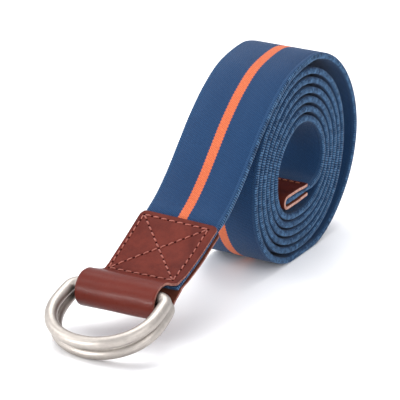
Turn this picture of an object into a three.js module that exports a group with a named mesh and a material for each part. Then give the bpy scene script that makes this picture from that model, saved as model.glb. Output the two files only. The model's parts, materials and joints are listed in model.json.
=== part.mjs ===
// Double ring belt: a striped webbing strap rolled into a loose coil, with a
// leather tab that loops round two stacked D-rings at one end and a folded
// leather tip at the other.  Millimetres, +Z up.  X is across the webbing,
// -Y points from the coil towards the rings.
import * as THREE from 'three';
import { mergeVertices } from 'three/addons/utils/BufferGeometryUtils.js';

// ---- driving dimensions (mm) ------------------------------------------------
const WEB_WIDTH = 30;          // webbing, edge to edge
const WEB_THICK = 2.4;         // webbing
const GAP = 0.3;               // clearance kept between neighbouring pieces
const COIL_CENTRE = { y: 11.84, z: 35.13 };
const TAB_THICK = 1.0;
const TAB_WEB_THICK = 1.6;     // the webbing is sewn flat under the tab
const TAB_CORNER = 2.2;        // corner radius at the far edge
const TAB_REACH = 26.7;        // from the webbing end up to the tab's far edge
const ROLL_CENTRE = { y: -77.93, z: 15.4 };   // middle of the leather roll
const ROLL_RADIUS = 6.15;      // middle line of the leather round the bars
const ROLL_OPEN = 128;         // the roll's round part ends at this angle either way
const WIRE = 4.35;             // ring wire diameter
const RING_BELLY = 20.0;       // half width of the D at its widest, wire centre
const RING_BELLY_AT = 8.68;    // distance of the widest place from the bar
const RING_DEPTH = 25.6;       // bar to front of the arc, wire centres
const RING_BACK = 30.2;        // half axis of the arc behind its widest place
const RING_BAR = 14.4;         // half length of the straight bar
const RING_JOIN_AT = 3.2;      // depth at which the corner bend meets the arc
const RING_TILT = 21.5;        // slope of the upper ring, degrees below level
const RING_LEAN = 4.2;         // sideways lean of the rings, degrees
const BARS = {                 // middle of each ring's straight bar
  upper: { x: -3.686, y: -79.561, z: 17.17 }, lower: { x: -4.466, y: -76.291, z: 13.64 },
};
const LEAN = 3.2;              // sideways lean of the roll, degrees
const LEAN_ZONE = { from: -24.2, to: -3.2 };   // where the strap twists into that lean, along it from the roll
const HEADING = -2.2;          // turn of the free run about Z, degrees
const TIP_THICK = 1.2;         // leather of the tail tip
const TIP_REACH = 15.0;        // length of the tail tip along the webbing
const TIP_WIDTH = 30.4;
const TIP_WEB_THICK = 2.1;     // the webbing inside the tip
const TIP_PRESS_THICK = 1.4;   // and where it is sewn, near the tip's open end

// Sides of the leather strip, measured from the strap's middle, at distances
// along it from the roll's middle: far edge, shoulder, neck and roll.
const TAB_SIDES = [
  { along: -37.0, left: -15.4, right: 15.5 }, { along: -12.2, left: -14.9, right: 15.5 },
  { along: -7.6, left: -14.8, right: 15.0 }, { along: -3.4, left: -18.2, right: 13.4 },
  { along: 0.0, left: -18.6, right: 13.2 }, { along: 6.0, left: -18.6, right: 13.2 },
];

// Middle line of the free run, from the rings up to the top of the coil.
const FREE_RUN = [
  { y: -72.4, z: 18.2 }, { y: -69.0, z: 19.87 }, { y: -65.3, z: 21.7 },
  { y: -58.8, z: 25.0 }, { y: -51.4, z: 29.1 },
  { y: -41.8, z: 34.2 }, { y: -33.5, z: 41.2 }, { y: -25.7, z: 49.5 },
  { y: -17.5, z: 58.1 }, { y: -7.9, z: 65.9 }, { y: 3.0, z: 71.5 },
];

// Middle line of each turn: distance from the coil centre every 45 degrees,
// starting at the top and going over the back, the bottom and the front.
const TURN_COLUMNS = ['top', 'topBack', 'back', 'backBottom', 'bottom', 'bottomFront', 'front', 'frontTop'];
const TURNS = [
  { top: 38.5, topBack: 41.5, back: 42.9, backBottom: 38.4, bottom: 34.7, bottomFront: 34.8, front: 32.4, frontTop: 31.8 },
  { top: 34.1, topBack: 33.9, back: 32.4, backBottom: 31.7, bottom: 30.6, bottomFront: 31.3, front: 29.4, frontTop: 28.6 },
  { top: 30.7, topBack: 30.5, back: 29.5, backBottom: 28.6, bottom: 27.4, bottomFront: 28.2, front: 26.5, frontTop: 25.4 },
  { top: 27.2, topBack: 27.2, back: 26.6, backBottom: 25.5, bottom: 24.2, bottomFront: 25.2, front: 23.6, frontTop: 22.3 },
  { top: 23.8, topBack: 23.9, back: 23.7, backBottom: 22.4, bottom: 21.0, bottomFront: 22.2, front: 20.7, frontTop: 19.3 },
  { top: 20.4, topBack: 20.6, back: 20.8, backBottom: 19.3, bottom: 17.9, bottomFront: 19.3, front: 17.8, frontTop: 16.5 },
  { top: 17.0, topBack: 17.3, back: 17.9 },
];
const FLAT_BOTTOM = WEB_THICK / 2;   // the outer turn lies flat at this height

// Tail: the inner end leaves the last turn and lies in the hollow.
const TAIL = [
  { y: 28.6, z: 30.3 }, { y: 25.6, z: 26.5 }, { y: 21.0, z: 24.9 },
  { y: 15.0, z: 24.6 }, { y: 8.0, z: 24.6 }, { y: 1.9, z: 24.6 },
];

// ---- helpers ----------------------------------------------------------------
const rad = THREE.MathUtils.degToRad;
const smooth = (t) => { const k = THREE.MathUtils.clamp(t, 0, 1); return k * k * (3 - 2 * k); };

// A closed body through a row of four-cornered sections.
function ribbonBody(rows) {
  const positions = [], index = [];
  for (const r of rows) {
    for (const [sw, sn] of [[-1, 1], [1, 1], [1, -1], [-1, -1]]) {
      positions.push(...r.p.clone().addScaledVector(r.w, sw * r.half).addScaledVector(r.n, sn * r.thick / 2).toArray());
    }
  }
  for (let i = 0; i + 1 < rows.length; i++) {
    for (let k = 0; k < 4; k++) {
      const a = 4 * i + k, b = 4 * i + (k + 1) % 4, c = a + 4, d = b + 4;
      index.push(a, b, d, a, d, c);
    }
  }
  const e = 4 * (rows.length - 1);
  index.push(0, 3, 2, 0, 2, 1, e, e + 1, e + 2, e, e + 2, e + 3);
  return finish(positions, index);
}

// A closed loop of round sections.
function loopBody(centres, normal, radius, sides) {
  const positions = [], index = [], n = centres.length;
  for (let i = 0; i < n; i++) {
    const t = centres[(i + 1) % n].clone().sub(centres[(i + n - 1) % n]).normalize();
    const side = new THREE.Vector3().crossVectors(t, normal).normalize();
    for (let k = 0; k < sides; k++) {
      const a = 2 * Math.PI * (k + 0.5) / sides;
      positions.push(...centres[i].clone().addScaledVector(side, radius * Math.cos(a)).addScaledVector(normal, radius * Math.sin(a)).toArray());
    }
  }
  for (let i = 0; i < n; i++) {
    for (let k = 0; k < sides; k++) {
      const a = i * sides + k, b = i * sides + (k + 1) % sides;
      const c = ((i + 1) % n) * sides + k, d = ((i + 1) % n) * sides + (k + 1) % sides;
      index.push(a, b, d, a, d, c);
    }
  }
  return finish(positions, index);
}

function finish(positions, index) {
  const g = new THREE.BufferGeometry();
  g.setAttribute('position', new THREE.Float32BufferAttribute(positions, 3));
  g.setIndex(index);
  if (signedVolume(g) < 0) {
    const ix = g.index.array;
    for (let i = 0; i < ix.length; i += 3) { const s = ix[i]; ix[i] = ix[i + 1]; ix[i + 1] = s; }
  }
  const merged = mergeVertices(g, 1e-4);
  merged.computeVertexNormals();
  return merged;
}

function signedVolume(g) {
  const p = g.attributes.position, ix = g.index.array;
  const a = new THREE.Vector3(), b = new THREE.Vector3(), c = new THREE.Vector3();
  let v = 0;
  for (let i = 0; i < ix.length; i += 3) {
    a.fromBufferAttribute(p, ix[i]); b.fromBufferAttribute(p, ix[i + 1]); c.fromBufferAttribute(p, ix[i + 2]);
    v += a.dot(b.cross(c)) / 6;
  }
  return v;
}

// Points in the (y, z) plane as a curve at x = 0.
const planar = (pts) => new THREE.CatmullRomCurve3(pts.map((q) => new THREE.Vector3(0, q.y, q.z)), false, 'centripetal');

// Even stations along a planar curve, with the direction and the normal.
function stations(curve, count) {
  curve.arcLengthDivisions = count * 8;
  const out = [];
  for (let i = 0; i <= count; i++) {
    const p = curve.getPointAt(i / count), t = curve.getTangentAt(i / count);
    out.push({ p, t, n: new THREE.Vector3(0, -t.z, t.y) });
  }
  return out;
}

// ---- middle line of the webbing ---------------------------------------------
function turnRadius(quarter) {          // quarter counts 45 degree steps
  const flat = TURNS.flatMap((row) => TURN_COLUMNS.filter((c) => c in row).map((c) => row[c]));
  const at = (k) => flat[THREE.MathUtils.clamp(k, 0, flat.length - 1)];
  const k = Math.floor(quarter), t = quarter - k;
  const p0 = at(k - 1), p1 = at(k), p2 = at(k + 1), p3 = at(k + 2);
  return 0.5 * (2 * p1 + (p2 - p0) * t + (2 * p0 - 5 * p1 + 4 * p2 - p3) * t * t + (3 * p1 - p0 - 3 * p2 + p3) * t * t * t);
}

const LAST_QUARTER = TURNS.reduce((k, row) => k + TURN_COLUMNS.filter((c) => c in row).length, 0) - 1;
const STEPS_PER_QUARTER = 4;

function webbingPoints() {
  const pts = FREE_RUN.map((q) => ({ ...q }));
  for (let i = 1; i <= LAST_QUARTER * STEPS_PER_QUARTER; i++) {
    const q = i / STEPS_PER_QUARTER, r = turnRadius(q), a = q * Math.PI / 4;
    const y = COIL_CENTRE.y + r * Math.sin(a);
    const z = COIL_CENTRE.z + r * Math.cos(a);
    pts.push({ y, z: Math.max(z, FLAT_BOTTOM) });
  }
  return pts.concat(TAIL);
}

// The free run is turned a little about Z, blending in below the coil's top.
const HEADING_START = { y: 3.0, x: 1.1 };
const TURN_BLEND = 75;                    // length over which the turn blends in
const SHIFT_BLEND = 34;                   // length past the coil's top over which the shift fades
function headingAt(y) { return rad(HEADING) * smooth((HEADING_START.y - y) / TURN_BLEND); }
function driftAt(y) {
  let x = HEADING_START.x;
  const steps = 60, span = Math.max(0, HEADING_START.y - y);
  for (let i = 0; i < steps; i++) x += Math.tan(headingAt(HEADING_START.y - span * (i + 0.5) / steps)) * span / steps;
  return x;
}
function placeFree(v) {                   // v has x across, y and z in the strap's plane
  const a = headingAt(v.y);
  return new THREE.Vector3(driftAt(v.y) + v.x * Math.cos(a), v.y + v.x * Math.sin(a), v.z);
}

// Local directions at the roll: u points on along the strap, n is up from it.
const ROLL_SLOPE = rad(27);
const uDir = { y: -Math.cos(ROLL_SLOPE), z: -Math.sin(ROLL_SLOPE) };
const nDir = { y: -Math.sin(ROLL_SLOPE), z: Math.cos(ROLL_SLOPE) };
const atRoll = (u, n) => ({ y: ROLL_CENTRE.y + u * uDir.y + n * nDir.y, z: ROLL_CENTRE.z + u * uDir.z + n * nDir.z });
// Distance along the strap from the roll's middle, negative behind it.
const pastRoll = (p) => (p.y - ROLL_CENTRE.y) * uDir.y + (p.z - ROLL_CENTRE.z) * uDir.z;
const leanAt = (u) => rad(LEAN) * smooth((u - LEAN_ZONE.from) / (LEAN_ZONE.to - LEAN_ZONE.from));
// Direction across the strap at a heading and a lean, and along it from a planar tangent.
const acrossDir = (a, lean) => new THREE.Vector3(Math.cos(a) * Math.cos(lean), Math.sin(a) * Math.cos(lean), Math.sin(lean));
const alongDir = (a, t) => new THREE.Vector3(Math.sin(-a) * t.y, Math.cos(a) * t.y, t.z);

const webCurve = planar(webbingPoints());
const WEB_STATIONS = 300;
const webStations = stations(webCurve, WEB_STATIONS);
for (const s of webStations) s.p.z = Math.max(s.p.z, FLAT_BOTTOM);
const WEB_LENGTH = webCurve.getLength();
const FREE_LENGTH = planar(FREE_RUN).getLength();

// Thickness of the webbing at a distance from its inner end.
function tipThick(d) {
  const pressed = THREE.MathUtils.lerp(TIP_WEB_THICK, TIP_PRESS_THICK, smooth((d - TIP_REACH + 9) / 8));
  return THREE.MathUtils.lerp(pressed, WEB_THICK, smooth((d - TIP_REACH) / 5));
}

function webbing() {
  const rows = webStations.map((s, i) => {
    const along = i / WEB_STATIONS * WEB_LENGTH;
    const free = along < FREE_LENGTH + SHIFT_BLEND;
    const inTab = 1 - smooth((along - TAB_REACH - 1.6) / 4);
    const a = free ? headingAt(s.p.y) : 0;
    const x = along < FREE_LENGTH ? driftAt(s.p.y) : HEADING_START.x * (1 - smooth((along - FREE_LENGTH) / SHIFT_BLEND));
    const w = acrossDir(a, along < FREE_LENGTH / 2 ? leanAt(pastRoll(s.p)) : 0);
    return {
      p: new THREE.Vector3(x, s.p.y, s.p.z), w, n: new THREE.Vector3().crossVectors(w, alongDir(a, s.t)).normalize(),
      half: WEB_WIDTH / 2, thick: tipThick(WEB_LENGTH - along) + (TAB_WEB_THICK - WEB_THICK) * inTab,
    };
  });
  return ribbonBody(rows);
}

// ---- leather tab --------------------------------------------------------------

function sidesAt(u) {
  const k = TAB_SIDES.findIndex((row) => row.along > u);
  if (k <= 0) return k === 0 ? TAB_SIDES[0] : TAB_SIDES[TAB_SIDES.length - 1];
  const p = TAB_SIDES[k - 1], q = TAB_SIDES[k], t = smooth((u - p.along) / (q.along - p.along));
  return { left: THREE.MathUtils.lerp(p.left, q.left, t), right: THREE.MathUtils.lerp(p.right, q.right, t) };
}

function tab() {
  const off = TAB_WEB_THICK / 2 + GAP + TAB_THICK / 2;
  const plyCount = 18;
  const upper = [], lower = [];
  for (let i = 0; i <= plyCount; i++) {
    const f = (TAB_REACH * (1 - i / plyCount) + 1.6) / WEB_LENGTH;
    const p = webCurve.getPointAt(f), t = webCurve.getTangentAt(f);
    upper.push({ y: p.y - t.z * off, z: p.z + t.y * off });
    lower.unshift({ y: p.y + t.z * off, z: p.z - t.y * off });
  }
  const round = [atRoll(-6.6, 1.95), atRoll(-5.2, 3.2)];
  for (let k = 0; k <= 14; k++) {
    const a = rad(ROLL_OPEN * (1 - k / 7));
    round.push(atRoll(ROLL_RADIUS * Math.cos(a), ROLL_RADIUS * Math.sin(a)));
  }
  const line = planar([...upper, ...round, ...lower]);
  const count = 92;
  const length = line.getLength();
  const rows = stations(line, count).map((s, i) => {
    const end = Math.min(i, count - i) / count * length;
    // distance towards the rings, measured along the strap from the roll's middle
    const u = pastRoll(s.p);
    const side = sidesAt(u), lean = leanAt(u);
    const corner = end < TAB_CORNER ? TAB_CORNER - Math.sqrt(Math.max(0, TAB_CORNER ** 2 - (TAB_CORNER - end) ** 2)) : 0;
    const a = headingAt(s.p.y), w = acrossDir(a, lean);
    return {
      p: placeFree(s.p).addScaledVector(w, (side.left + side.right) / 2), w, n: new THREE.Vector3().crossVectors(w, alongDir(a, s.t)).normalize(),
      half: (side.right - side.left) / 2 - corner, thick: TAB_THICK,
    };
  });
  return ribbonBody(rows);
}

// ---- rings ----------------------------------------------------------------------
// D outline as wire centres: across x, depth v from the bar.
function ringOutline() {
  const arc = (v) => RING_BELLY * Math.sqrt(Math.max(0, 1 - ((RING_BELLY_AT - v) / RING_BACK) ** 2));
  const xJ = arc(RING_JOIN_AT);
  const slope = RING_BELLY ** 2 * (RING_BELLY_AT - RING_JOIN_AT) / (RING_BACK ** 2 * xJ);
  const d = new THREE.Vector2(slope, 1).normalize();
  const bend = new THREE.CubicBezierCurve(
    new THREE.Vector2(RING_BAR, 0), new THREE.Vector2(RING_BAR + 2.0, 0),
    new THREE.Vector2(xJ - 2.8 * d.x, RING_JOIN_AT - 2.8 * d.y), new THREE.Vector2(xJ, RING_JOIN_AT));
  const half = [];
  for (let i = 0; i <= 4; i++) half.push(new THREE.Vector2(RING_BAR * i / 4, 0));
  for (let i = 1; i <= 7; i++) half.push(bend.getPoint(i / 7));
  for (let i = 1; i <= 5; i++) { const v = THREE.MathUtils.lerp(RING_JOIN_AT, RING_BELLY_AT, i / 5); half.push(new THREE.Vector2(arc(v), v)); }
  for (let i = 1; i <= 18; i++) {
    const a = Math.PI / 2 * i / 18;
    half.push(new THREE.Vector2(RING_BELLY * Math.cos(a) ** (2 / 2.1), RING_BELLY_AT + (RING_DEPTH - RING_BELLY_AT) * Math.sin(a) ** (2 / 2.1)));
  }
  const mirrored = half.slice(1, -1).reverse().map((q) => new THREE.Vector2(-q.x, q.y));
  half[half.length - 1].x = 0;
  return half.concat(mirrored);
}

function ring(bar, tilt) {
  const a = headingAt(ROLL_CENTRE.y), lean = rad(RING_LEAN);
  const level = new THREE.Vector3(Math.cos(a), Math.sin(a), 0);
  const ahead = new THREE.Vector3(Math.sin(a), -Math.cos(a), 0);
  const frame = (deg) => {
    const depth = ahead.clone().multiplyScalar(Math.cos(rad(deg))).add(new THREE.Vector3(0, 0, -Math.sin(rad(deg))));
    const up = new THREE.Vector3().crossVectors(depth, level).normalize();
    if (up.z < 0) up.negate();
    const across = level.clone().multiplyScalar(Math.cos(lean)).addScaledVector(up, Math.sin(lean));
    return { depth, across, normal: new THREE.Vector3().crossVectors(across, depth).normalize() };
  };
  const own = frame(tilt);
  const centres = ringOutline().map((q) => own.across.clone().multiplyScalar(q.x).addScaledVector(own.depth, q.y));
  const mesh = new THREE.Mesh(loopBody(centres, own.normal, WIRE / 2, 14), nickel());
  mesh.position.set(bar.x, bar.y, bar.z);
  return mesh;
}

// Slope at which the lower ring's front just comes down to the ground.
function slopeToGround(ground) {
  let low = RING_TILT, high = RING_TILT + 12;
  for (let i = 0; i < 24; i++) {
    const deg = (low + high) / 2, m = ring(BARS.lower, deg);
    m.updateMatrixWorld(true);
    if (new THREE.Box3().setFromObject(m, true).min.z > ground) low = deg; else high = deg;
  }
  return low;
}

// ---- tail tip -------------------------------------------------------------------
function tailTip() {
  const offAt = (d) => tipThick(d) / 2 + GAP * 1.5 + TIP_THICK / 2;
  const plyCount = 12, upper = [], lower = [];
  for (let i = 0; i <= plyCount; i++) {
    const d = TIP_REACH * (1 - i / plyCount) + 0.2, f = 1 - d / WEB_LENGTH, off = offAt(d);
    const p = webCurve.getPointAt(f), t = webCurve.getTangentAt(f);
    upper.push({ y: p.y - t.z * off, z: p.z + t.y * off });
    lower.unshift({ y: p.y + t.z * off, z: p.z - t.y * off });
  }
  const p = webCurve.getPointAt(1), t = webCurve.getTangentAt(1), off = offAt(0), bend = [];
  for (const deg of [60, 30, 0, -30, -60]) {
    const du = GAP + 0.1 + off * Math.cos(rad(deg)), dn = off * Math.sin(rad(deg));
    bend.push({ y: p.y + t.y * du - t.z * dn, z: p.z + t.z * du + t.y * dn });
  }
  const rows = stations(planar([...upper, ...bend, ...lower]), 44).map((s) => ({
    p: s.p, w: new THREE.Vector3(1, 0, 0), n: s.n, half: TIP_WIDTH / 2, thick: TIP_THICK,
  }));
  return ribbonBody(rows);
}

// ---- materials --------------------------------------------------------------------
const nickel = () => new THREE.MeshStandardMaterial({ color: 0xc8c3b8, roughness: 0.35, metalness: 1.0 });
const cloth = new THREE.MeshStandardMaterial({ color: 0x2f5078, roughness: 0.85, metalness: 0 });
const leather = new THREE.MeshStandardMaterial({ color: 0x7a3a2c, roughness: 0.5, metalness: 0 });
const tipLeather = new THREE.MeshStandardMaterial({ color: 0x6e3226, roughness: 0.55, metalness: 0 });

// ---- assembly -----------------------------------------------------------------------
const belt = new THREE.Group();
const add = (name, mesh) => { mesh.name = name; belt.add(mesh); return mesh; };
add('webbing_strap', new THREE.Mesh(webbing(), cloth));
add('leather_tab', new THREE.Mesh(tab(), leather));
belt.updateMatrixWorld(true);
const LOWER_TILT = slopeToGround(new THREE.Box3().setFromObject(belt, true).min.z);
add('ring_upper', ring(BARS.upper, RING_TILT));
add('ring_lower', ring(BARS.lower, LOWER_TILT));
add('tail_tip', new THREE.Mesh(tailTip(), tipLeather));

// The origin is the middle of the footprint, on the surface the belt stands on.
belt.updateMatrixWorld(true);
const box = new THREE.Box3().setFromObject(belt, true);
belt.position.set(-(box.min.x + box.max.x) / 2, -(box.min.y + box.max.y) / 2, -box.min.z);
belt.userData = { webbingLength: WEB_LENGTH, lowerTilt: LOWER_TILT };

export default belt;
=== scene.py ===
"""Double ring belt: a striped webbing strap rolled up, a leather tab round two D-rings,
a folded leather tip.  Lengths in the tables are millimetres in the modelling frame;
SHIFT brings them into the row frame and SCALE into metres."""
import json
import math

import bpy
import numpy as np
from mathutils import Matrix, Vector


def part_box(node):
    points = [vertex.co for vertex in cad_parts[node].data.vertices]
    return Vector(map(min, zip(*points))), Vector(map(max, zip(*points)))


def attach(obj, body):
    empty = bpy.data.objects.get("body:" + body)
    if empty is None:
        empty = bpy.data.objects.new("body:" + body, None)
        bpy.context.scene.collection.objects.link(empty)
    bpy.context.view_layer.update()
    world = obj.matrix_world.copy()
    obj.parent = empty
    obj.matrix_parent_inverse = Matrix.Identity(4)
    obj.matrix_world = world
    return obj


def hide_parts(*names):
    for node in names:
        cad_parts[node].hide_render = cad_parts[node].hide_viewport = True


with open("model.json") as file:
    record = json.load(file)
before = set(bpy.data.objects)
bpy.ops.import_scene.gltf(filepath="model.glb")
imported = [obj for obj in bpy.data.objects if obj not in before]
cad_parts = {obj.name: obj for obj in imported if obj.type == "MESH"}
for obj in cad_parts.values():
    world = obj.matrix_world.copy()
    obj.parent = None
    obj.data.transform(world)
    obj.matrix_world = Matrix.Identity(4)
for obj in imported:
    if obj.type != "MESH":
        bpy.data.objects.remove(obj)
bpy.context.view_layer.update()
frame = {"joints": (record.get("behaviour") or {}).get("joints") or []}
MM = 0.001

# ---- sizes ------------------------------------------------------------------------
WEB_WIDTH, WEB_THICK, GAP = 30.0, 2.4, 0.3
COIL = (11.84, 35.13)
TAB_THICK, TAB_WEB_THICK, TAB_CORNER, TAB_REACH = 1.0, 1.6, 2.2, 26.7
ROLL_CENTRE, ROLL_RADIUS, ROLL_OPEN = (-77.93, 15.4), 6.15, 128.0
WIRE = 4.35
RING = dict(belly=20.0, belly_at=8.68, depth=25.6, back=30.2, bar=14.4, join=3.2)
RING_TILT, RING_LEAN = 21.5, 4.2
BAR_UPPER, BAR_LOWER = (-3.686, -79.561, 17.17), (-4.466, -76.291, 13.64)
LEAN, LEAN_FROM, LEAN_TO = 3.2, -24.2, -3.2
HEADING = -2.2
TIP_THICK, TIP_REACH, TIP_WIDTH = 1.2, 15.0, 30.4
TIP_WEB_THICK, TIP_PRESS_THICK = 2.1, 1.4
HEADING_START, TURN_BLEND, SHIFT_BLEND = (3.0, 1.1), 75.0, 34.0

# sides of the leather strip from the strap's middle: (along, left, right)
TAB_SIDES = [(-37.0, -15.4, 15.5), (-12.2, -14.9, 15.5), (-7.6, -14.8, 15.0), (-3.4, -18.2, 13.4), (0.0, -18.6, 13.2), (6.0, -18.6, 13.2)]
# middle line of the free run: (y, z)
FREE_RUN = [(-72.4, 18.2), (-69.0, 19.87), (-65.3, 21.7), (-58.8, 25.0), (-51.4, 29.1), (-41.8, 34.2), (-33.5, 41.2), (-25.7, 49.5), (-17.5, 58.1), (-7.9, 65.9), (3.0, 71.5)]
# middle line of each turn, every 45 degrees from the top over the back
TURNS = [
    (38.5, 41.5, 42.9, 38.4, 34.7, 34.8, 32.4, 31.8),
    (34.1, 33.9, 32.4, 31.7, 30.6, 31.3, 29.4, 28.6),
    (30.7, 30.5, 29.5, 28.6, 27.4, 28.2, 26.5, 25.4),
    (27.2, 27.2, 26.6, 25.5, 24.2, 25.2, 23.6, 22.3),
    (23.8, 23.9, 23.7, 22.4, 21.0, 22.2, 20.7, 19.3),
    (20.4, 20.6, 20.8, 19.3, 17.9, 19.3, 17.8, 16.5),
    (17.0, 17.3, 17.9),
]
TAIL = [(28.6, 30.3), (25.6, 26.5), (21.0, 24.9), (15.0, 24.6), (8.0, 24.6), (1.9, 24.6)]


# ---- lines ------------------------------------------------------------------------
def smooth(t):
    t = np.clip(t, 0.0, 1.0)
    return t * t * (3 - 2 * t)


def spline(points, per_span=40):
    """Centripetal Catmull-Rom line through planar points, as a dense polyline."""
    p = np.array(points, float)
    ext = np.vstack([2 * p[0] - p[1], p, 2 * p[-1] - p[-2]])
    out = []
    for i in range(len(p) - 1):
        a, b, c, d = ext[i : i + 4]
        d0, d1, d2 = (max(float(np.hypot(*(v - u))) ** 0.5, 1e-6) for u, v in ((a, b), (b, c), (c, d)))
        t1 = ((b - a) / d0 - (c - a) / (d0 + d1) + (c - b) / d1) * d1
        t2 = ((c - b) / d1 - (d - b) / (d1 + d2) + (d - c) / d2) * d1
        w = np.linspace(0, 1, per_span, endpoint=i == len(p) - 2 and False)[:, None]
        out.append(b + t1 * w + (-3 * b + 3 * c - 2 * t1 - t2) * w**2 + (2 * b - 2 * c + t1 + t2) * w**3)
    out.append(p[-1:])
    return np.vstack(out)


class Line:
    """A planar line measured by its length, with direction and normal."""

    def __init__(self, points, per_span=40):
        self.p = spline(points, per_span)
        step = np.hypot(*np.diff(self.p, axis=0).T)
        self.s = np.r_[0, np.cumsum(step)]
        self.length = float(self.s[-1])
        g = np.gradient(self.p, self.s, axis=0)
        self.g = g / np.hypot(g[:, 0], g[:, 1])[:, None]

    def at(self, s):
        s = np.asarray(s, float)
        p = np.stack([np.interp(s, self.s, self.p[:, k]) for k in (0, 1)], -1)
        t = np.stack([np.interp(s, self.s, self.g[:, k]) for k in (0, 1)], -1)
        t /= np.hypot(t[..., 0], t[..., 1])[..., None]
        return p, t


def turn_line():
    flat = np.array([r for row in TURNS for r in row])
    pts = list(FREE_RUN)
    at = lambda k: flat[min(max(k, 0), len(flat) - 1)]
    for i in range(1, (len(flat) - 1) * 4 + 1):
        q = i / 4
        k, t = int(q), q - int(q)
        a, b, c, d = at(k - 1), at(k), at(k + 1), at(k + 2)
        r = 0.5 * (2 * b + (c - a) * t + (2 * a - 5 * b + 4 * c - d) * t * t + (3 * b - a - 3 * c + d) * t**3)
        ang = q * math.pi / 4
        pts.append((COIL[0] + r * math.sin(ang), max(COIL[1] + r * math.cos(ang), WEB_THICK / 2)))
    return pts + TAIL


web = Line(turn_line(), 24)
FREE_LENGTH = Line(FREE_RUN).length
SLOPE = math.radians(27)
U = np.array([-math.cos(SLOPE), -math.sin(SLOPE)])
V = np.array([-math.sin(SLOPE), math.cos(SLOPE)])


def past_roll(p):
    return (p - np.array(ROLL_CENTRE)) @ U


def heading(y):
    return math.radians(HEADING) * smooth((HEADING_START[0] - y) / TURN_BLEND)


_dy = np.linspace(0, 110, 1101)
_dx = np.r_[0, np.cumsum(np.tan(heading(HEADING_START[0] - (_dy[1:] + _dy[:-1]) / 2)) * np.diff(_dy))]


def drift(y):
    return HEADING_START[1] + np.interp(np.maximum(0, HEADING_START[0] - y), _dy, _dx)


def lean(u):
    return math.radians(LEAN) * smooth((u - LEAN_FROM) / (LEAN_TO - LEAN_FROM))


def frames(p, t, x, a, tilt):
    """3-D places, directions across and normals of planar points."""
    z = np.zeros_like(x)
    w = np.stack([np.cos(a) * np.cos(tilt), np.sin(a) * np.cos(tilt), np.sin(tilt)], -1)
    d = np.stack([np.sin(-a) * t[:, 0], np.cos(a) * t[:, 0], t[:, 1]], -1)
    n = np.cross(w, d)
    n /= np.linalg.norm(n, axis=1)[:, None]
    return np.stack([x, p[:, 0], p[:, 1]], -1), w + z[:, None], n


def web_frames(s):
    p, t = web.at(s)
    p[:, 1] = np.maximum(p[:, 1], WEB_THICK / 2)
    free = s < FREE_LENGTH + SHIFT_BLEND
    a = np.where(free, heading(p[:, 0]), 0.0)
    x = np.where(s < FREE_LENGTH, drift(p[:, 0]), HEADING_START[1] * (1 - smooth((s - FREE_LENGTH) / SHIFT_BLEND)))
    tilt = np.where(s < FREE_LENGTH / 2, lean(past_roll(p)), 0.0)
    return frames(p, t, x, a, tilt)


def tip_thick(d):
    pressed = TIP_WEB_THICK + (TIP_PRESS_THICK - TIP_WEB_THICK) * smooth((d - TIP_REACH + 9) / 8)
    return pressed + (WEB_THICK - pressed) * smooth((d - TIP_REACH) / 5)


def web_half_thick(s):
    tab = 1 - smooth((s - TAB_REACH - 1.6) / 4)
    return (tip_thick(web.length - s) + (TAB_WEB_THICK - WEB_THICK) * tab) / 2


# the row frame's place: the CAD strap's box against the same strap here
_s = np.linspace(0, web.length, 301)
_c, _w, _n = web_frames(_s)
_h = web_half_thick(_s)[:, None]
_all = np.vstack([_c + i * 15 * _w + j * _h * _n for i in (-1, 1) for j in (-1, 1)])
_lo, _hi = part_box("webbing_strap")
SHIFT = (np.array(_lo) + np.array(_hi)) / 2 / MM - (_all.min(0) + _all.max(0)) / 2
SHIFT[2] = _lo[2] / MM - _all[:, 2].min()


# ---- meshes -----------------------------------------------------------------------
def make(name, verts, quads, mats, mat_index=None, uv=None, tris=None, smooth_shade=True):
    me = bpy.data.meshes.new(name)
    v = (np.asarray(verts, float) + SHIFT) * MM
    quads = np.asarray(quads, np.int64).reshape(-1, 4)
    tris = np.zeros((0, 3), np.int64) if tris is None else np.asarray(tris, np.int64).reshape(-1, 3)
    loops = np.r_[quads.ravel(), tris.ravel()]
    sizes = np.r_[np.full(len(quads), 4), np.full(len(tris), 3)]
    me.vertices.add(len(v))
    me.vertices.foreach_set("co", v.astype(np.float32).ravel())
    me.loops.add(len(loops))
    me.loops.foreach_set("vertex_index", loops.astype(np.int32))
    me.polygons.add(len(sizes))
    me.polygons.foreach_set("loop_start", np.r_[0, np.cumsum(sizes)[:-1]].astype(np.int32))
    me.polygons.foreach_set("loop_total", sizes.astype(np.int32))
    if uv is not None:
        layer = me.uv_layers.new(name="weave")
        layer.data.foreach_set("uv", np.asarray(uv, np.float32).ravel())
    for m in mats:
        me.materials.append(m)
    if mat_index is not None:
        me.polygons.foreach_set("material_index", np.asarray(mat_index, np.int32))
    me.polygons.foreach_set("use_smooth", np.full(len(sizes), smooth_shade))
    me.update(calc_edges=True)
    me.validate()
    o = bpy.data.objects.new(name, me)
    bpy.context.scene.collection.objects.link(o)
    return o


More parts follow.
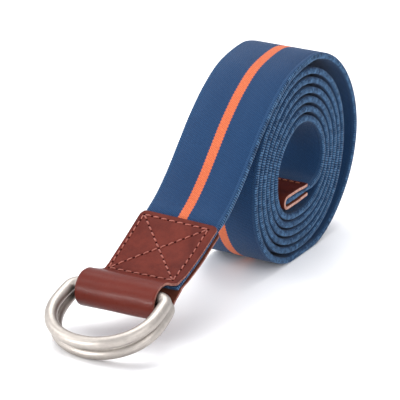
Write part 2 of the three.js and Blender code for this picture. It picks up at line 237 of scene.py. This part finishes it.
def tube(name, c, w, n, across, height, along, mats, columns, caps=True, cap_mat=0, flip=False):
    """A closed body through sections: across and height are (rows, points)."""
    rows, m = across.shape
    v = c[:, None, :] + across[..., None] * w[:, None, :] + height[..., None] * n[:, None, :]
    r, k = np.meshgrid(np.arange(rows - 1), np.arange(m), indexing="ij")
    k2 = (k + 1) % m
    q = np.stack([r * m + k, r * m + k2, (r + 1) * m + k2, (r + 1) * m + k], -1).reshape(-1, 4)
    u = np.broadcast_to(along[:, None], (rows, m)).ravel() * MM
    a = across.ravel() * MM
    uv = np.stack([u[q], a[q]], -1).reshape(-1, 2)
    mi = np.broadcast_to(np.asarray(columns)[None, :], (rows - 1, m)).ravel()
    tris, uvt, mt = [], [], []
    verts = v.reshape(-1, 3)
    if caps:
        for row, turn in ((0, 1), (rows - 1, -1)):
            base, centre = row * m, len(verts)
            verts = np.vstack([verts, v[row].mean(0)])
            for j in range(m):
                t = [base + (j + 1) % m, base + j, centre] if turn == 1 else [base + j, base + (j + 1) % m, centre]
                tris.append(t)
                for i in t:
                    uvt.append((float(along[row]) * MM, float(a[i]) if i < rows * m else 0.0))
                mt.append(cap_mat)
    if flip:
        q = q[:, ::-1]
        uv = np.stack([u[q], a[q]], -1).reshape(-1, 2)
        tris = [t[::-1] for t in tris]
    if tris:
        uv = np.vstack([uv, np.array(uvt)])
        mi = np.r_[mi, mt]
    return make(name, verts, q, mats, mi, uv, tris)


def outward(o):
    """Faces turned outward by the sign of the enclosed volume."""
    me = o.data
    me.calc_loop_triangles()
    co = np.zeros(len(me.vertices) * 3, np.float32)
    me.vertices.foreach_get("co", co)
    co = co.reshape(-1, 3).astype(float)
    co -= co.mean(0)
    t = np.zeros(len(me.loop_triangles) * 3, np.int32)
    me.loop_triangles.foreach_get("vertices", t)
    a, b, c = (co[t.reshape(-1, 3)[:, k]] for k in range(3))
    if (a * np.cross(b, c)).sum() < 0:
        me.flip_normals()
    return o


# ---- materials --------------------------------------------------------------------
def srgb(r, g, b):
    f = lambda v: v / 12.92 if v <= 0.04045 else ((v + 0.055) / 1.055) ** 2.4
    return (f(r / 255), f(g / 255), f(b / 255), 1.0)


class Nodes:
    """Small helper to lay out a material's nodes."""

    def __init__(self, name, **sockets):
        self.mat = bpy.data.materials.new(name)
        self.mat.use_nodes = True
        self.t = self.mat.node_tree
        self.shader = self.t.nodes["Principled BSDF"]
        for k, v in sockets.items():
            self.shader.inputs[k.replace("_", " ")].default_value = v

    def node(self, kind, **props):
        n = self.t.nodes.new(kind)
        for k, v in props.items():
            setattr(n, k, v)
        return n

    def put(self, n, i, v):
        if isinstance(v, bpy.types.NodeSocket):
            self.t.links.new(v, n.inputs[i])
        elif v is not None:
            n.inputs[i].default_value = v

    def math(self, op, a, b=None, c=None, clamp=False):
        n = self.node("ShaderNodeMath", operation=op, use_clamp=clamp)
        for i, v in enumerate((a, b, c)):
            self.put(n, i, v)
        return n.outputs[0]

    def mix(self, f, a, b, blend="MIX"):
        n = self.node("ShaderNodeMix", data_type="RGBA", blend_type=blend)
        self.put(n, 0, f)
        self.put(n, 6, a)
        self.put(n, 7, b)
        return n.outputs[2]

    def step(self, v, lo, hi, a=0.0, b=1.0):
        n = self.node("ShaderNodeMapRange", interpolation_type="SMOOTHSTEP")
        for i, x in enumerate((v, lo, hi, a, b)):
            self.put(n, i, x)
        return n.outputs[0]

    def noise(self, scale, detail=3.0, rough=0.55, where=None, distortion=0.0):
        n = self.node("ShaderNodeTexNoise")
        n.inputs["Scale"].default_value = scale
        n.inputs["Detail"].default_value = detail
        n.inputs["Roughness"].default_value = rough
        n.inputs["Distortion"].default_value = distortion
        self.t.links.new(where if where is not None else self.place(), n.inputs["Vector"])
        return n.outputs["Fac"]

    def voronoi(self, scale, where=None, feature="DISTANCE_TO_EDGE"):
        n = self.node("ShaderNodeTexVoronoi", feature=feature)
        n.inputs["Scale"].default_value = scale
        self.t.links.new(where if where is not None else self.place(), n.inputs["Vector"])
        return n.outputs["Distance"]

    def place(self):
        if not hasattr(self, "_place"):
            self._place = self.node("ShaderNodeTexCoord").outputs["Object"]
        return self._place

    def uv(self):
        if not hasattr(self, "_uv"):
            n = self.node("ShaderNodeUVMap", uv_map="weave")
            s = self.node("ShaderNodeSeparateXYZ")
            self.t.links.new(n.outputs[0], s.inputs[0])
            self._uv = (s.outputs[0], s.outputs[1])
        return self._uv

    def bump(self, height, strength, distance):
        n = self.node("ShaderNodeBump")
        n.inputs["Strength"].default_value = strength
        n.inputs["Distance"].default_value = distance
        self.t.links.new(height, n.inputs["Height"])
        self.t.links.new(n.outputs[0], self.shader.inputs["Normal"])

    def colour(self, c):
        self.t.links.new(c, self.shader.inputs["Base Color"])

    def rough(self, r):
        self.t.links.new(r, self.shader.inputs["Roughness"])


RIB, COLUMN, STRIPE = 0.62, 0.62, 1.76     # weave pitch along and across, half stripe
BLUE, BLUE_DARK, BLUE_PALE = srgb(32, 68, 106), srgb(13, 41, 74), srgb(54, 88, 124)
ORANGE, ORANGE_DARK = srgb(204, 112, 72), srgb(170, 74, 45)


def weave(name, stripe):
    m = Nodes(name, Roughness=0.9, Sheen_Weight=0.09, Sheen_Roughness=0.5, IOR=1.4, Specular_IOR_Level=0.2)
    u, v = m.uv()
    col = m.math("FLOOR", m.math("DIVIDE", v, COLUMN * MM))
    phase = m.math("MULTIPLY", col, math.pi)
    rib = m.math("MULTIPLY_ADD", m.math("SINE", m.math("MULTIPLY_ADD", u, 2 * math.pi / (RIB * MM), phase)), 0.5, 0.5)
    arc = m.math("PINGPONG", m.math("DIVIDE", v, COLUMN * MM), 0.5)
    bead = m.math("MULTIPLY", m.step(rib, 0.1, 0.8), m.step(arc, 0.0, 0.28, 0.55, 1.0))
    fibre = m.noise(2600, 2.0)
    cloud = m.noise(34, 2.0, 0.5)
    tone = m.math("MULTIPLY_ADD", cloud, 0.5, m.math("MULTIPLY_ADD", fibre, 0.7, m.math("MULTIPLY", bead, 0.55)))
    base = m.mix(m.step(tone, 0.5, 1.45), BLUE_DARK, BLUE)
    edge = m.step(m.math("ABSOLUTE", v), 13.2 * MM, 13.5 * MM)
    base = m.mix(m.math("MULTIPLY", edge, m.math("MULTIPLY", bead, 0.4)), base, BLUE_PALE)
    if stripe:
        warm = m.mix(m.step(tone, 0.35, 1.3), ORANGE_DARK, ORANGE)
        slow = m.math("SINE", m.math("MULTIPLY", u, 2 * math.pi / (2 * RIB * MM)))
        jag = m.math("MULTIPLY_ADD", slow, 0.13 * MM, m.math("MULTIPLY_ADD", rib, 0.2 * MM, m.math("ABSOLUTE", v)))
        base = m.mix(m.step(jag, (STRIPE + 0.05) * MM, (STRIPE + 0.17) * MM), warm, base)
    m.colour(base)
    m.bump(m.math("MULTIPLY_ADD", fibre, 0.35, bead), 0.75, 0.00014)
    return m.mat


def selvedge(name):
    """The bound edge of the webbing: slanted stitches with painted highlight on their crests and painted shade in the
    gaps between them, over the yarn's own fibre and patch tone.
    """
    m = Nodes(name, Roughness=0.9, Sheen_Weight=0.08, Sheen_Roughness=0.5, IOR=1.4, Specular_IOR_Level=0.25)
    u, v = m.uv()
    wave = m.math("SINE", m.math("MULTIPLY", u, 2 * math.pi / (BEAD * MM)))
    fibre = m.noise(2400, 2.0)
    patch = m.noise(620, 2.0, 0.6)
    tone = m.math("MULTIPLY_ADD", fibre, 0.35, m.math("MULTIPLY_ADD", wave, 0.26, m.math("MULTIPLY_ADD", patch, 1.5, -0.5)))
    # colour: the stitch wave paints highlight on the crests and shade in the gaps; the fibre and patch noise is the
    # yarn's own tone
    m.colour(m.mix(m.step(tone, 0.12, 0.92), srgb(13, 38, 66), srgb(74, 110, 146)))
    m.bump(m.math("MULTIPLY_ADD", wave, 0.4, fibre), 0.6, 0.00014)
    return m.mat


BEAD = 0.88   # pitch of the edge stitches along the webbing
web_outer, web_inner, web_edge = weave("webbing_outer", True), weave("webbing_inner", False), selvedge("webbing_edge")


def leather(name, light, dark, gloss, gloss_roll=None):
    m = Nodes(name, IOR=1.45, Specular_IOR_Level=0.1)
    grain = m.voronoi(1500)
    fine = m.noise(1800, 3.0, 0.6)
    cloud = m.noise(60, 4.0, 0.6, distortion=0.6)
    streak = m.noise(260, 3.0, 0.6)
    tone = m.math("MULTIPLY_ADD", cloud, 0.75, m.math("MULTIPLY_ADD", streak, 0.3, m.math("MULTIPLY", fine, 0.2)))
    base = m.mix(m.step(tone, 0.4, 0.85), dark, light)
    spread = m.math("MULTIPLY_ADD", fine, 0.16, gloss - 0.08)
    if gloss_roll is not None:
        u, _ = m.uv()
        lo, hi = gloss_roll
        on = m.math("MULTIPLY", m.step(u, lo * MM, (lo + 4) * MM), m.step(u, (hi - 4) * MM, hi * MM, 1.0, 0.0))
        spread = m.math("MULTIPLY_ADD", on, -0.22, spread)
        m.t.links.new(m.math("MULTIPLY_ADD", on, 0.09, 0.1), m.shader.inputs["Specular IOR Level"])
        base = m.mix(m.math("MULTIPLY", on, 0.7), base, srgb(90, 28, 17))
    m.colour(base)
    m.rough(spread)
    h = m.math("MULTIPLY_ADD", m.step(grain, 0.0, 0.12), 0.35, m.math("MULTIPLY_ADD", fine, 0.4, m.math("MULTIPLY", streak, 0.8)))
    m.bump(h, 0.35, 0.00012)
    return m.mat


def cut_edge(name, a, b):
    m = Nodes(name, Roughness=0.8, IOR=1.4)
    n = m.noise(900, 3.0)
    m.colour(m.mix(m.step(n, 0.3, 0.7), a, b))
    m.bump(n, 0.5, 0.0002)
    return m.mat


def thread(name, a, b):
    m = Nodes(name, Roughness=0.6, Sheen_Weight=0.2, IOR=1.45)
    n = m.noise(3000, 2.0)
    m.colour(m.mix(m.step(n, 0.3, 0.7), a, b))
    m.bump(n, 0.4, 0.0001)
    return m.mat


# ---- webbing strap ----------------------------------------------------------------
# section of the upper face from the middle to the edge: (across, height share)
FACE = [(6.5, 1.0), (12.9, 1.0), (13.3, 0.84), (13.9, 1.0), (14.55, 0.86), (14.9, 0.42)]


def strap():
    rows = int(round(web.length / (BEAD / 3))) + 1
    s = np.linspace(0, web.length, rows)
    c, w, n = web_frames(s)
    a = np.array([f[0] for f in FACE])
    h = np.array([f[1] for f in FACE])
    a0 = np.r_[-a[::-1], a, a[::-1], -a]
    h0 = np.r_[h[::-1], h, -h[::-1], -h]
    across = np.broadcast_to(a0, (rows, len(a0))).copy()
    height = h0[None, :] * web_half_thick(s)[:, None]
    # slanted stitches round the two edges
    near = np.abs(a0) > 14.2
    slant = h0 * 1.1
    wave = np.sin(2 * np.pi * s[:, None] / BEAD + slant[None, :])
    across[:, near] += np.sign(a0[near]) * (0.09 * wave[:, near] - 0.02)
    height[:, near] += np.sign(h0[near]) * 0.05 * wave[:, near]
    k = len(a)
    mid = len(a0)
    columns = []
    for j in range(mid):
        j2 = (j + 1) % mid
        top = h0[j] > 0 and h0[j2] > 0
        bottom = h0[j] < 0 and h0[j2] < 0
        outer_rim = abs(a0[j]) > 14.0 and abs(a0[j2]) > 14.0
        columns.append(2 if outer_rim or not (top or bottom) else 0 if top else 1)
    o = outward(tube("strap_webbing", c, w, n, across, height, s, [web_outer, web_inner, web_edge], columns, cap_mat=2))
    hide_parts("webbing_strap")
    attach(o, "belt")
    return o


# ---- leather tab ------------------------------------------------------------------
def at_roll(u, n):
    return tuple(np.array(ROLL_CENTRE) + u * U + n * V)


def tab_path():
    off = TAB_WEB_THICK / 2 + GAP + TAB_THICK / 2
    upper, lower = [], []
    for i in range(19):
        p, t = web.at(np.array([TAB_REACH * (1 - i / 18) + 1.6]))
        p, t = p[0], t[0]
        upper.append((p[0] - t[1] * off, p[1] + t[0] * off))
        lower.insert(0, (p[0] + t[1] * off, p[1] - t[0] * off))
    rnd = [at_roll(-6.6, 1.95), at_roll(-5.2, 3.2)]
    for k in range(15):
        a = math.radians(ROLL_OPEN * (1 - k / 7))
        rnd.append(at_roll(ROLL_RADIUS * math.cos(a), ROLL_RADIUS * math.sin(a)))
    return Line(upper + rnd + lower)


tab_line = tab_path()
_ts = np.array(TAB_SIDES)


def tab_sides(u):
    k = np.clip(np.searchsorted(_ts[:, 0], u, side="right"), 1, len(_ts) - 1)
    t = smooth((u - _ts[k - 1, 0]) / (_ts[k, 0] - _ts[k - 1, 0]))
    return tuple(_ts[k - 1, j] + (_ts[k, j] - _ts[k - 1, j]) * t for j in (1, 2))


def tab_frames(s):
    p, t = tab_line.at(s)
    a = heading(p[:, 0])
    u = past_roll(p)
    c, w, n = frames(p, t, drift(p[:, 0]), a, lean(u))
    left, right = tab_sides(u)
    return c, w, n, left, right


# seams on the tab in its flat plan: distance from the far edge, distance across
BOX = dict(far=2.2, near=26.7, left=-13.3, right=12.5)
PITCH = 2.75


def seams():
    f, n, l, r = BOX["far"], BOX["near"], BOX["left"], BOX["right"]
    return [((f, l), (f, r), 8), ((f, l), (n, l), 9), ((f, r), (n, r), 9), ((n, l), (n, r), 8), ((n, l), (f, r), 12), ((f, l), (n, r), 12)]


def seam_depth(s, a):
    d = np.full(s.shape, 9.0)
    for (s0, a0), (s1, a1), _ in seams():
        e = np.array([s1 - s0, a1 - a0])
        t = np.clip(((s - s0) * e[0] + (a - a0) * e[1]) / (e @ e), 0, 1)
        d = np.minimum(d, np.hypot(s - s0 - t * e[0], a - a0 - t * e[1]))
    return np.exp(-((d / 0.75) ** 2))


leather_face = leather("leather_face", srgb(98, 39, 29), srgb(70, 22, 16), 0.52, (28.6, 66.0))
leather_back = leather("leather_back", srgb(112, 64, 48), srgb(86, 42, 31), 0.75)
leather_cut = cut_edge("leather_cut", srgb(150, 100, 88), srgb(104, 58, 48))
tip_cut = cut_edge("tip_leather_cut", srgb(186, 148, 136), srgb(150, 100, 86))
tip_face = leather("tip_leather_face", srgb(84, 32, 22), srgb(58, 20, 15), 0.55)
thread_tab = thread("thread_tab", srgb(150, 74, 54), srgb(112, 44, 31))
thread_tip = thread("thread_tip", srgb(160, 90, 52), srgb(118, 56, 32))
# needle holes: flat dark discs on the leather, painted shade standing for the shadow inside each hole
hole = Nodes("needle_hole_shade", Roughness=0.9, Specular_IOR_Level=0.05, Base_Color=srgb(46, 12, 9))
hole.bump(hole.noise(900), 0.2, 0.0001)


def leather_strip(name, line_s, c, w, n, left, right, thick, corner, mats, outer, sag=None, inner_cols=44):
    """A leather strip: outer and inner face with a fine grid, and rounded cut edges."""
    length = line_s[-1]
    end = np.minimum(line_s, length - line_s)
    cut = np.where(end < corner, corner - np.sqrt(np.maximum(0, corner**2 - (corner - end) ** 2)), 0)
    left, right = left + cut, right - cut
    frac = np.linspace(0, 1, inner_cols)
    rim = 0.34
    inner = (left + rim)[:, None] + (right - left - 2 * rim)[:, None] * frac[None, :]
    z = np.full_like(inner, thick / 2)
    lim = [((left + 0.10)[:, None], thick / 2 * 0.86), (left[:, None], thick / 2 * 0.45)]
    rim_r = [((right - 0.10)[:, None], thick / 2 * 0.86), (right[:, None], thick / 2 * 0.45)]
    top_a = np.hstack([lim[1][0], lim[0][0], inner, rim_r[0][0], rim_r[1][0]])
    hz = np.r_[lim[1][1], lim[0][1], np.full(inner_cols, thick / 2), rim_r[0][1], rim_r[1][1]]
    top_h = np.broadcast_to(hz, top_a.shape).copy()
    bot_a, bot_h = top_a[:, ::-1].copy(), -top_h[:, ::-1]
    # thinner at the two ends, where the leather is skived
    ends = np.clip(end / 0.5, 0, 1)[:, None] * 0.45 + 0.55
    top_h *= ends
    bot_h *= ends
    if sag is not None:
        dip = sag(np.broadcast_to(line_s[:, None], top_a.shape), top_a)
        top_h = top_h + (dip if outer > 0 else 0)
        if outer < 0:
            bot_h = bot_h - dip[:, ::-1]
    across, height = np.hstack([top_a, bot_a]), np.hstack([top_h, bot_h])
    m = across.shape[1]
    half = m // 2
    columns = []
    for j in range(m):
        edge_band = j in (0, half - 2, half - 1, half, m - 2, m - 1)
        on_top = j < half
        columns.append(2 if edge_band else (0 if on_top == (outer > 0) else 1))
    return outward(tube(name, c, w, n, across, height, line_s, mats, columns, cap_mat=2))


def tab_sag(s, a):
    both = np.zeros_like(s)
    for q in (s, tab_line.length - s):
        both -= 0.13 * seam_depth(q, a) * (q < 32)
        # the plies are thinner along their sides
        both -= 0.3 * smooth((np.abs(a) - 13.9) / 1.3) * smooth((26.5 - q) / 2)
    # a little unevenness of the hide
    both += 0.05 * np.sin(s * 0.37 + 1.3) * np.sin(a * 0.29 + 0.6)
    return both


def tab():
    s = np.linspace(0, tab_line.length, 230)
    c, w, n, left, right = tab_frames(s)
    o = leather_strip("tab_leather", s, c, w, n, left, right, TAB_THICK, TAB_CORNER, [leather_face, leather_back, leather_cut], -1, tab_sag)
    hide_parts("leather_tab")
    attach(o, "belt")
    return o


def blob_grid(kind):
    """Unit stitch (long along x, flattened, slightly bowed) or unit hole, as points and quads."""
    rings, sides = (9, 8) if kind == "stitch" else (4, 12)
    pts, q = [], []
    for i in range(rings):
        t = i / (rings - 1)
        if kind == "stitch":
            x = math.cos(math.pi * (1 - t))
            r = max(0.02, math.sin(math.pi * t)) ** 0.55
            lift = 0.9 * (1 - x * x)
            pts += [(x, r * math.cos(2 * math.pi * k / sides), r * math.sin(2 * math.pi * k / sides) + lift) for k in range(sides)]
        else:
            r, z = math.sin(math.pi / 2 * (1 - t) + 0.02), math.cos(math.pi / 2 * (1 - t))
            pts += [(r * math.cos(2 * math.pi * k / sides), r * math.sin(2 * math.pi * k / sides), z) for k in range(sides)]
    for i in range(rings - 1):
        q += [(i * sides + k, i * sides + (k + 1) % sides, (i + 1) * sides + (k + 1) % sides, (i + 1) * sides + k) for k in range(sides)]
    ends = [[sides - 1 - k for k in range(sides)], [(rings - 1) * sides + k for k in range(sides)]]
    return np.array(pts), np.array(q), ends


def scatter(name, kind, places, mat):
    """One joined mesh of stitches or holes; places are (centre, x, y, z directions with size)."""
    pts, q, ends = blob_grid(kind)
    verts, quads, tris = [], [], []
    for c, ex, ey, ez in places:
        base = len(verts) * len(pts)
        verts.append(c + pts[:, :1] * ex + pts[:, 1:2] * ey + pts[:, 2:3] * ez)
        quads.append(q + base)
        for loop in ends:
            for k in range(1, len(loop) - 1):
                tris.append([base + loop[0], base + loop[k], base + loop[k + 1]])
    o = make(name, np.vstack(verts), np.vstack(quads), [mat], tris=tris)
    return outward(o)


def seam_places(point, lines, lift_thread, lift_hole, half_len, thread_r, hole_r):
    """point(s, a) gives a place, directions along and across and the outward normal."""
    stitches, holes, done = [], [], []
    for (s0, a0), (s1, a1), count in lines:
        for i in range(count + 1):
            t = i / count
            s, a = s0 + (s1 - s0) * t, a0 + (a1 - a0) * t
            if all(math.hypot(s - q[0], a - q[1]) > 0.6 for q in done):
                done.append((s, a))
                p, d, w, n = point(s, a)
                e = (d * (s1 - s0) + w * (a1 - a0)) / math.hypot(s1 - s0, a1 - a0)
                # each hole is a flat disc just above the face, carrying painted shade for the shadow inside the hole
                holes.append((p + n * lift_hole, e * hole_r * 1.25, np.cross(n, e) * hole_r, n * 0.05))
        for i in range(count):
            t = (i + 0.5) / count
            s, a = s0 + (s1 - s0) * t, a0 + (a1 - a0) * t
            p, d, w, n = point(s, a)
            long = math.hypot(s1 - s0, a1 - a0)
            e = (d * (s1 - s0) + w * (a1 - a0)) / long
            f = np.cross(n, e)
            e2 = e * math.cos(0.13) + f * math.sin(0.13)
            reach = long / count / 2 * half_len
            stitches.append((p + n * lift_thread, e2 * reach, np.cross(n, e2) * thread_r, n * thread_r * 0.62))
    return stitches, holes


def tab_stitches():
    def point(side):
        def f(s, a):
            q = s if side == "upper" else tab_line.length - s
            c, w, n, *_ = tab_frames(np.array([q]))
            c2, *_ = tab_frames(np.array([q + (0.2 if side == "upper" else -0.2)]))
            d = c2[0] - c[0]
            d /= np.linalg.norm(d)
            return c[0] + w[0] * a - n[0] * (TAB_THICK / 2 - 0.13), d, w[0], -n[0]
        return f

    for side in ("upper", "lower"):
        st, ho = seam_places(point(side), seams(), 0.02, 0.05, 0.7, 0.3, 0.38)
        a = scatter(f"tab_{side}_stitches", "stitch", st, thread_tab)
        # dark discs of painted shade at the needle holes
        b = scatter(f"tab_{side}_needle_holes", "hole", ho, hole.mat)
        for o in (a, b):
            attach(o, "belt")


# ---- rings ------------------------------------------------------------------------
def ring_outline():
    g = RING
    arc = lambda v: g["belly"] * np.sqrt(np.maximum(0, 1 - ((g["belly_at"] - v) / g["back"]) ** 2))
    xj = float(arc(g["join"]))
    slope = g["belly"] ** 2 * (g["belly_at"] - g["join"]) / (g["back"] ** 2 * xj)
    d = np.array([slope, 1.0]) / math.hypot(slope, 1)
    b = np.array([[g["bar"], 0], [g["bar"] + 2.0, 0], [xj - 2.8 * d[0], g["join"] - 2.8 * d[1]], [xj, g["join"]]])
    t = np.linspace(0, 1, 15)[1:, None]
    bend = (1 - t) ** 3 * b[0] + 3 * (1 - t) ** 2 * t * b[1] + 3 * (1 - t) * t * t * b[2] + t**3 * b[3]
    v = np.linspace(g["join"], g["belly_at"], 9)[1:]
    side = np.stack([arc(v), v], -1)
    a = np.linspace(0, np.pi / 2, 46)[1:]
    front = np.stack([g["belly"] * np.cos(a) ** (2 / 2.1), g["belly_at"] + (g["depth"] - g["belly_at"]) * np.sin(a) ** (2 / 2.1)], -1)
    front[-1, 0] = 0
    bar = np.stack([np.linspace(0, g["bar"], 9), np.zeros(9)], -1)
    half = np.vstack([bar, bend, side, front])
    mirror = half[1:-1][::-1] * [-1, 1]
    return np.vstack([half, mirror])


def ring_frame(deg):
    a = float(heading(ROLL_CENTRE[0]))
    level, ahead = np.array([math.cos(a), math.sin(a), 0]), np.array([math.sin(a), -math.cos(a), 0])
    t, l = math.radians(deg), math.radians(RING_LEAN)
    depth = ahead * math.cos(t) - np.array([0, 0, math.sin(t)])
    up = ahead * math.sin(t) + np.array([0, 0, math.cos(t)])
    across = level * math.cos(l) + up * math.sin(l)
    return depth, across, np.cross(across, depth)


nickel = Nodes("satin_nickel", Metallic=1.0)
_n1, _n2 = nickel.noise(420, 4.0, 0.6), nickel.noise(2400, 2.0)
nickel.colour(nickel.mix(nickel.step(_n1, 0.35, 0.7), srgb(168, 161, 154), srgb(178, 171, 164)))
nickel.rough(nickel.math("MULTIPLY_ADD", _n1, 0.08, 0.42))
nickel.bump(_n2, 0.03, 0.00004)


def ring(name, node, body, bar, tilt):
    depth, across, n = ring_frame(tilt)
    q = ring_outline()
    c = np.array(bar) + q[:, :1] * across + q[:, 1:] * depth
    t = np.roll(c, -1, 0) - np.roll(c, 1, 0)
    t /= np.linalg.norm(t, axis=1)[:, None]
    out = np.cross(t, n)
    m, k = len(c), 28
    ang = 2 * np.pi * np.arange(k) / k
    v = (c[:, None] + WIRE / 2 * (np.cos(ang)[None, :, None] * out[:, None] + np.sin(ang)[None, :, None] * n)).reshape(-1, 3)
    r, j = np.meshgrid(np.arange(m), np.arange(k), indexing="ij")
    quads = np.stack([r * k + j, r * k + (j + 1) % k, (r + 1) % m * k + (j + 1) % k, (r + 1) % m * k + j], -1)
    o = outward(make(name, v, quads, [nickel.mat]))
    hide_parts(node)
    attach(o, body)
    return v


def lower_tilt():
    """The lower ring's slope, worked out from its joint's axis in model.json."""
    joint = [j for j in frame["joints"] if j["child"] == "lower_ring"][0]
    axis = np.array(joint["axis"])
    a = float(heading(ROLL_CENTRE[0]))
    ahead = np.array([math.sin(a), -math.cos(a), 0])
    l = math.radians(RING_LEAN)
    up = axis - axis @ np.array([math.cos(a), math.sin(a), 0]) * np.array([math.cos(a), math.sin(a), 0])
    return math.degrees(math.atan2(up @ ahead, up[2])) if l else RING_TILT


# ---- tail tip ---------------------------------------------------------------------
def tip_path():
    off_at = lambda d: float(tip_thick(d)) / 2 + GAP * 1.5 + TIP_THICK / 2
    upper, lower = [], []
    for i in range(13):
        d = TIP_REACH * (1 - i / 12) + 0.2
        off = off_at(d)
        p, t = web.at(np.array([web.length - d]))
        p, t = p[0], t[0]
        upper.append((p[0] - t[1] * off, p[1] + t[0] * off))
        lower.insert(0, (p[0] + t[1] * off, p[1] - t[0] * off))
    p, t = web.at(np.array([web.length]))
    p, t = p[0], t[0]
    off, bend = off_at(0.0), []
    for deg in (60, 30, 0, -30, -60):
        du, dn = GAP + 0.1 + off * math.cos(math.radians(deg)), off * math.sin(math.radians(deg))
        bend.append((p[0] + t[0] * du - t[1] * dn, p[1] + t[1] * du + t[0] * dn))
    return Line(upper + bend + lower)


tip_line = tip_path()
TIP_SEAM = 1.9   # stitch row, from the leather's end edges


def tip_frames(s):
    p, t = tip_line.at(s)
    z = np.zeros(len(p))
    return frames(p, t, z, z, z)


def tip():
    s = np.linspace(0, tip_line.length, 120)
    c, w, n = tip_frames(s)
    h = np.full(len(s), TIP_WIDTH / 2)

    def sag(q, a):
        near = np.minimum(np.abs(q - TIP_SEAM), np.abs(tip_line.length - q - TIP_SEAM))
        return -0.1 * np.exp(-((near / 0.6) ** 2)) * (np.abs(a) < 13.2)

    o = leather_strip("tip_leather", s, c, w, n, -h, h, TIP_THICK, 1.2, [tip_face, leather_back, tip_cut], 1, sag, 30)
    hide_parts("tail_tip")
    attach(o, "belt")

    def point(side):
        def f(q, a):
            r = q if side == "outer" else tip_line.length - q
            c, w, n = tip_frames(np.array([r]))
            c2, *_ = tip_frames(np.array([r + (0.2 if side == "outer" else -0.2)]))
            d = c2[0] - c[0]
            d /= np.linalg.norm(d)
            return c[0] + w[0] * a + n[0] * (TIP_THICK / 2 - 0.1), d, w[0], n[0]
        return f

    for side in ("outer", "inner"):
        st, ho = seam_places(point(side), [((TIP_SEAM, -12.9), (TIP_SEAM, 12.9), 10)], 0.02, 0.03, 0.72, 0.27, 0.3)
        # the needle holes are dark discs of painted shade
        for o2 in (scatter(f"tip_{side}_stitches", "stitch", st, thread_tip), scatter(f"tip_{side}_needle_holes", "hole", ho, hole.mat)):
            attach(o2, "belt")


# ---- stage, light, camera -----------------------------------------------------------
def stage():
    m = Nodes("floor", Roughness=0.32, IOR=1.25, Base_Color=(0.955, 0.955, 0.96, 1))
    me = bpy.data.meshes.new("floor")
    r = 6.0
    me.from_pydata([(-r, -r, 0), (r, -r, 0), (r, r, 0), (-r, r, 0)], [], [(0, 1, 2, 3)])
    me.materials.append(m.mat)
    o = bpy.data.objects.new("floor", me)
    bpy.context.scene.collection.objects.link(o)


def area(name, place, target, size, power, colour=(1, 1, 1), size_y=None):
    d = bpy.data.lights.new(name, "AREA")
    d.energy, d.color, d.size = power, colour, size
    if size_y:
        d.shape, d.size_y = "RECTANGLE", size_y
    o = bpy.data.objects.new(name, d)
    o.location = place
    o.rotation_mode = "QUATERNION"
    o.rotation_quaternion = (Vector(target) - Vector(place)).to_track_quat("-Z", "Y")
    bpy.context.scene.collection.objects.link(o)


def light():
    w = bpy.data.worlds.new("studio")
    bpy.context.scene.world = w
    w.use_nodes = True
    bg = w.node_tree.nodes["Background"]
    bg.inputs["Color"].default_value = (0.95, 0.96, 1.0, 1)
    bg.inputs["Strength"].default_value = 1.0
    area("top", (-0.25, 0.25, 1.3), (0, 0, 0), 1.0, 15)
    area("left", (-1.1, -0.5, 0.7), (0, 0, 0.03), 0.7, 6.5)
    area("front_left", (-0.42, -0.80, 0.07), (0, -0.05, 0.02), 0.3, 3.2, size_y=0.1)
    area("right", (1.0, -0.7, 0.6), (0, 0, 0.03), 0.6, 5, size_y=0.9)


AZ, EL, FOCAL_PX = 30.561, 21.442, 2302.832
CAMERA = np.array([374.594, -668.514, 323.941])     # in the modelling frame


def camera():
    d = bpy.data.cameras.new("camera")
    d.sensor_width, d.sensor_fit = 36.0, "HORIZONTAL"
    d.lens = FOCAL_PX * 36.0 / 400
    d.clip_start, d.clip_end = 0.01, 100
    o = bpy.data.objects.new("camera", d)
    o.location = Vector((CAMERA + SHIFT) * MM)
    a, e = math.radians(AZ), math.radians(EL)
    back = Vector((math.sin(a) * math.cos(e), -math.cos(a) * math.cos(e), math.sin(e)))
    o.rotation_mode = "QUATERNION"
    o.rotation_quaternion = (-back).to_track_quat("-Z", "Y")
    bpy.context.scene.collection.objects.link(o)
    bpy.context.scene.camera = o


camera()
stage()
light()
strap()
tab()
tab_stitches()
ring("upper_ring_metal", "ring_upper", "upper_ring", BAR_UPPER, RING_TILT)
ring("lower_ring_metal", "ring_lower", "lower_ring", BAR_LOWER, lower_tilt())
tip()
bpy.context.scene.view_settings.view_transform = "Standard"
bpy.context.scene.view_settings.look = "None"

bpy.context.view_layer.update()
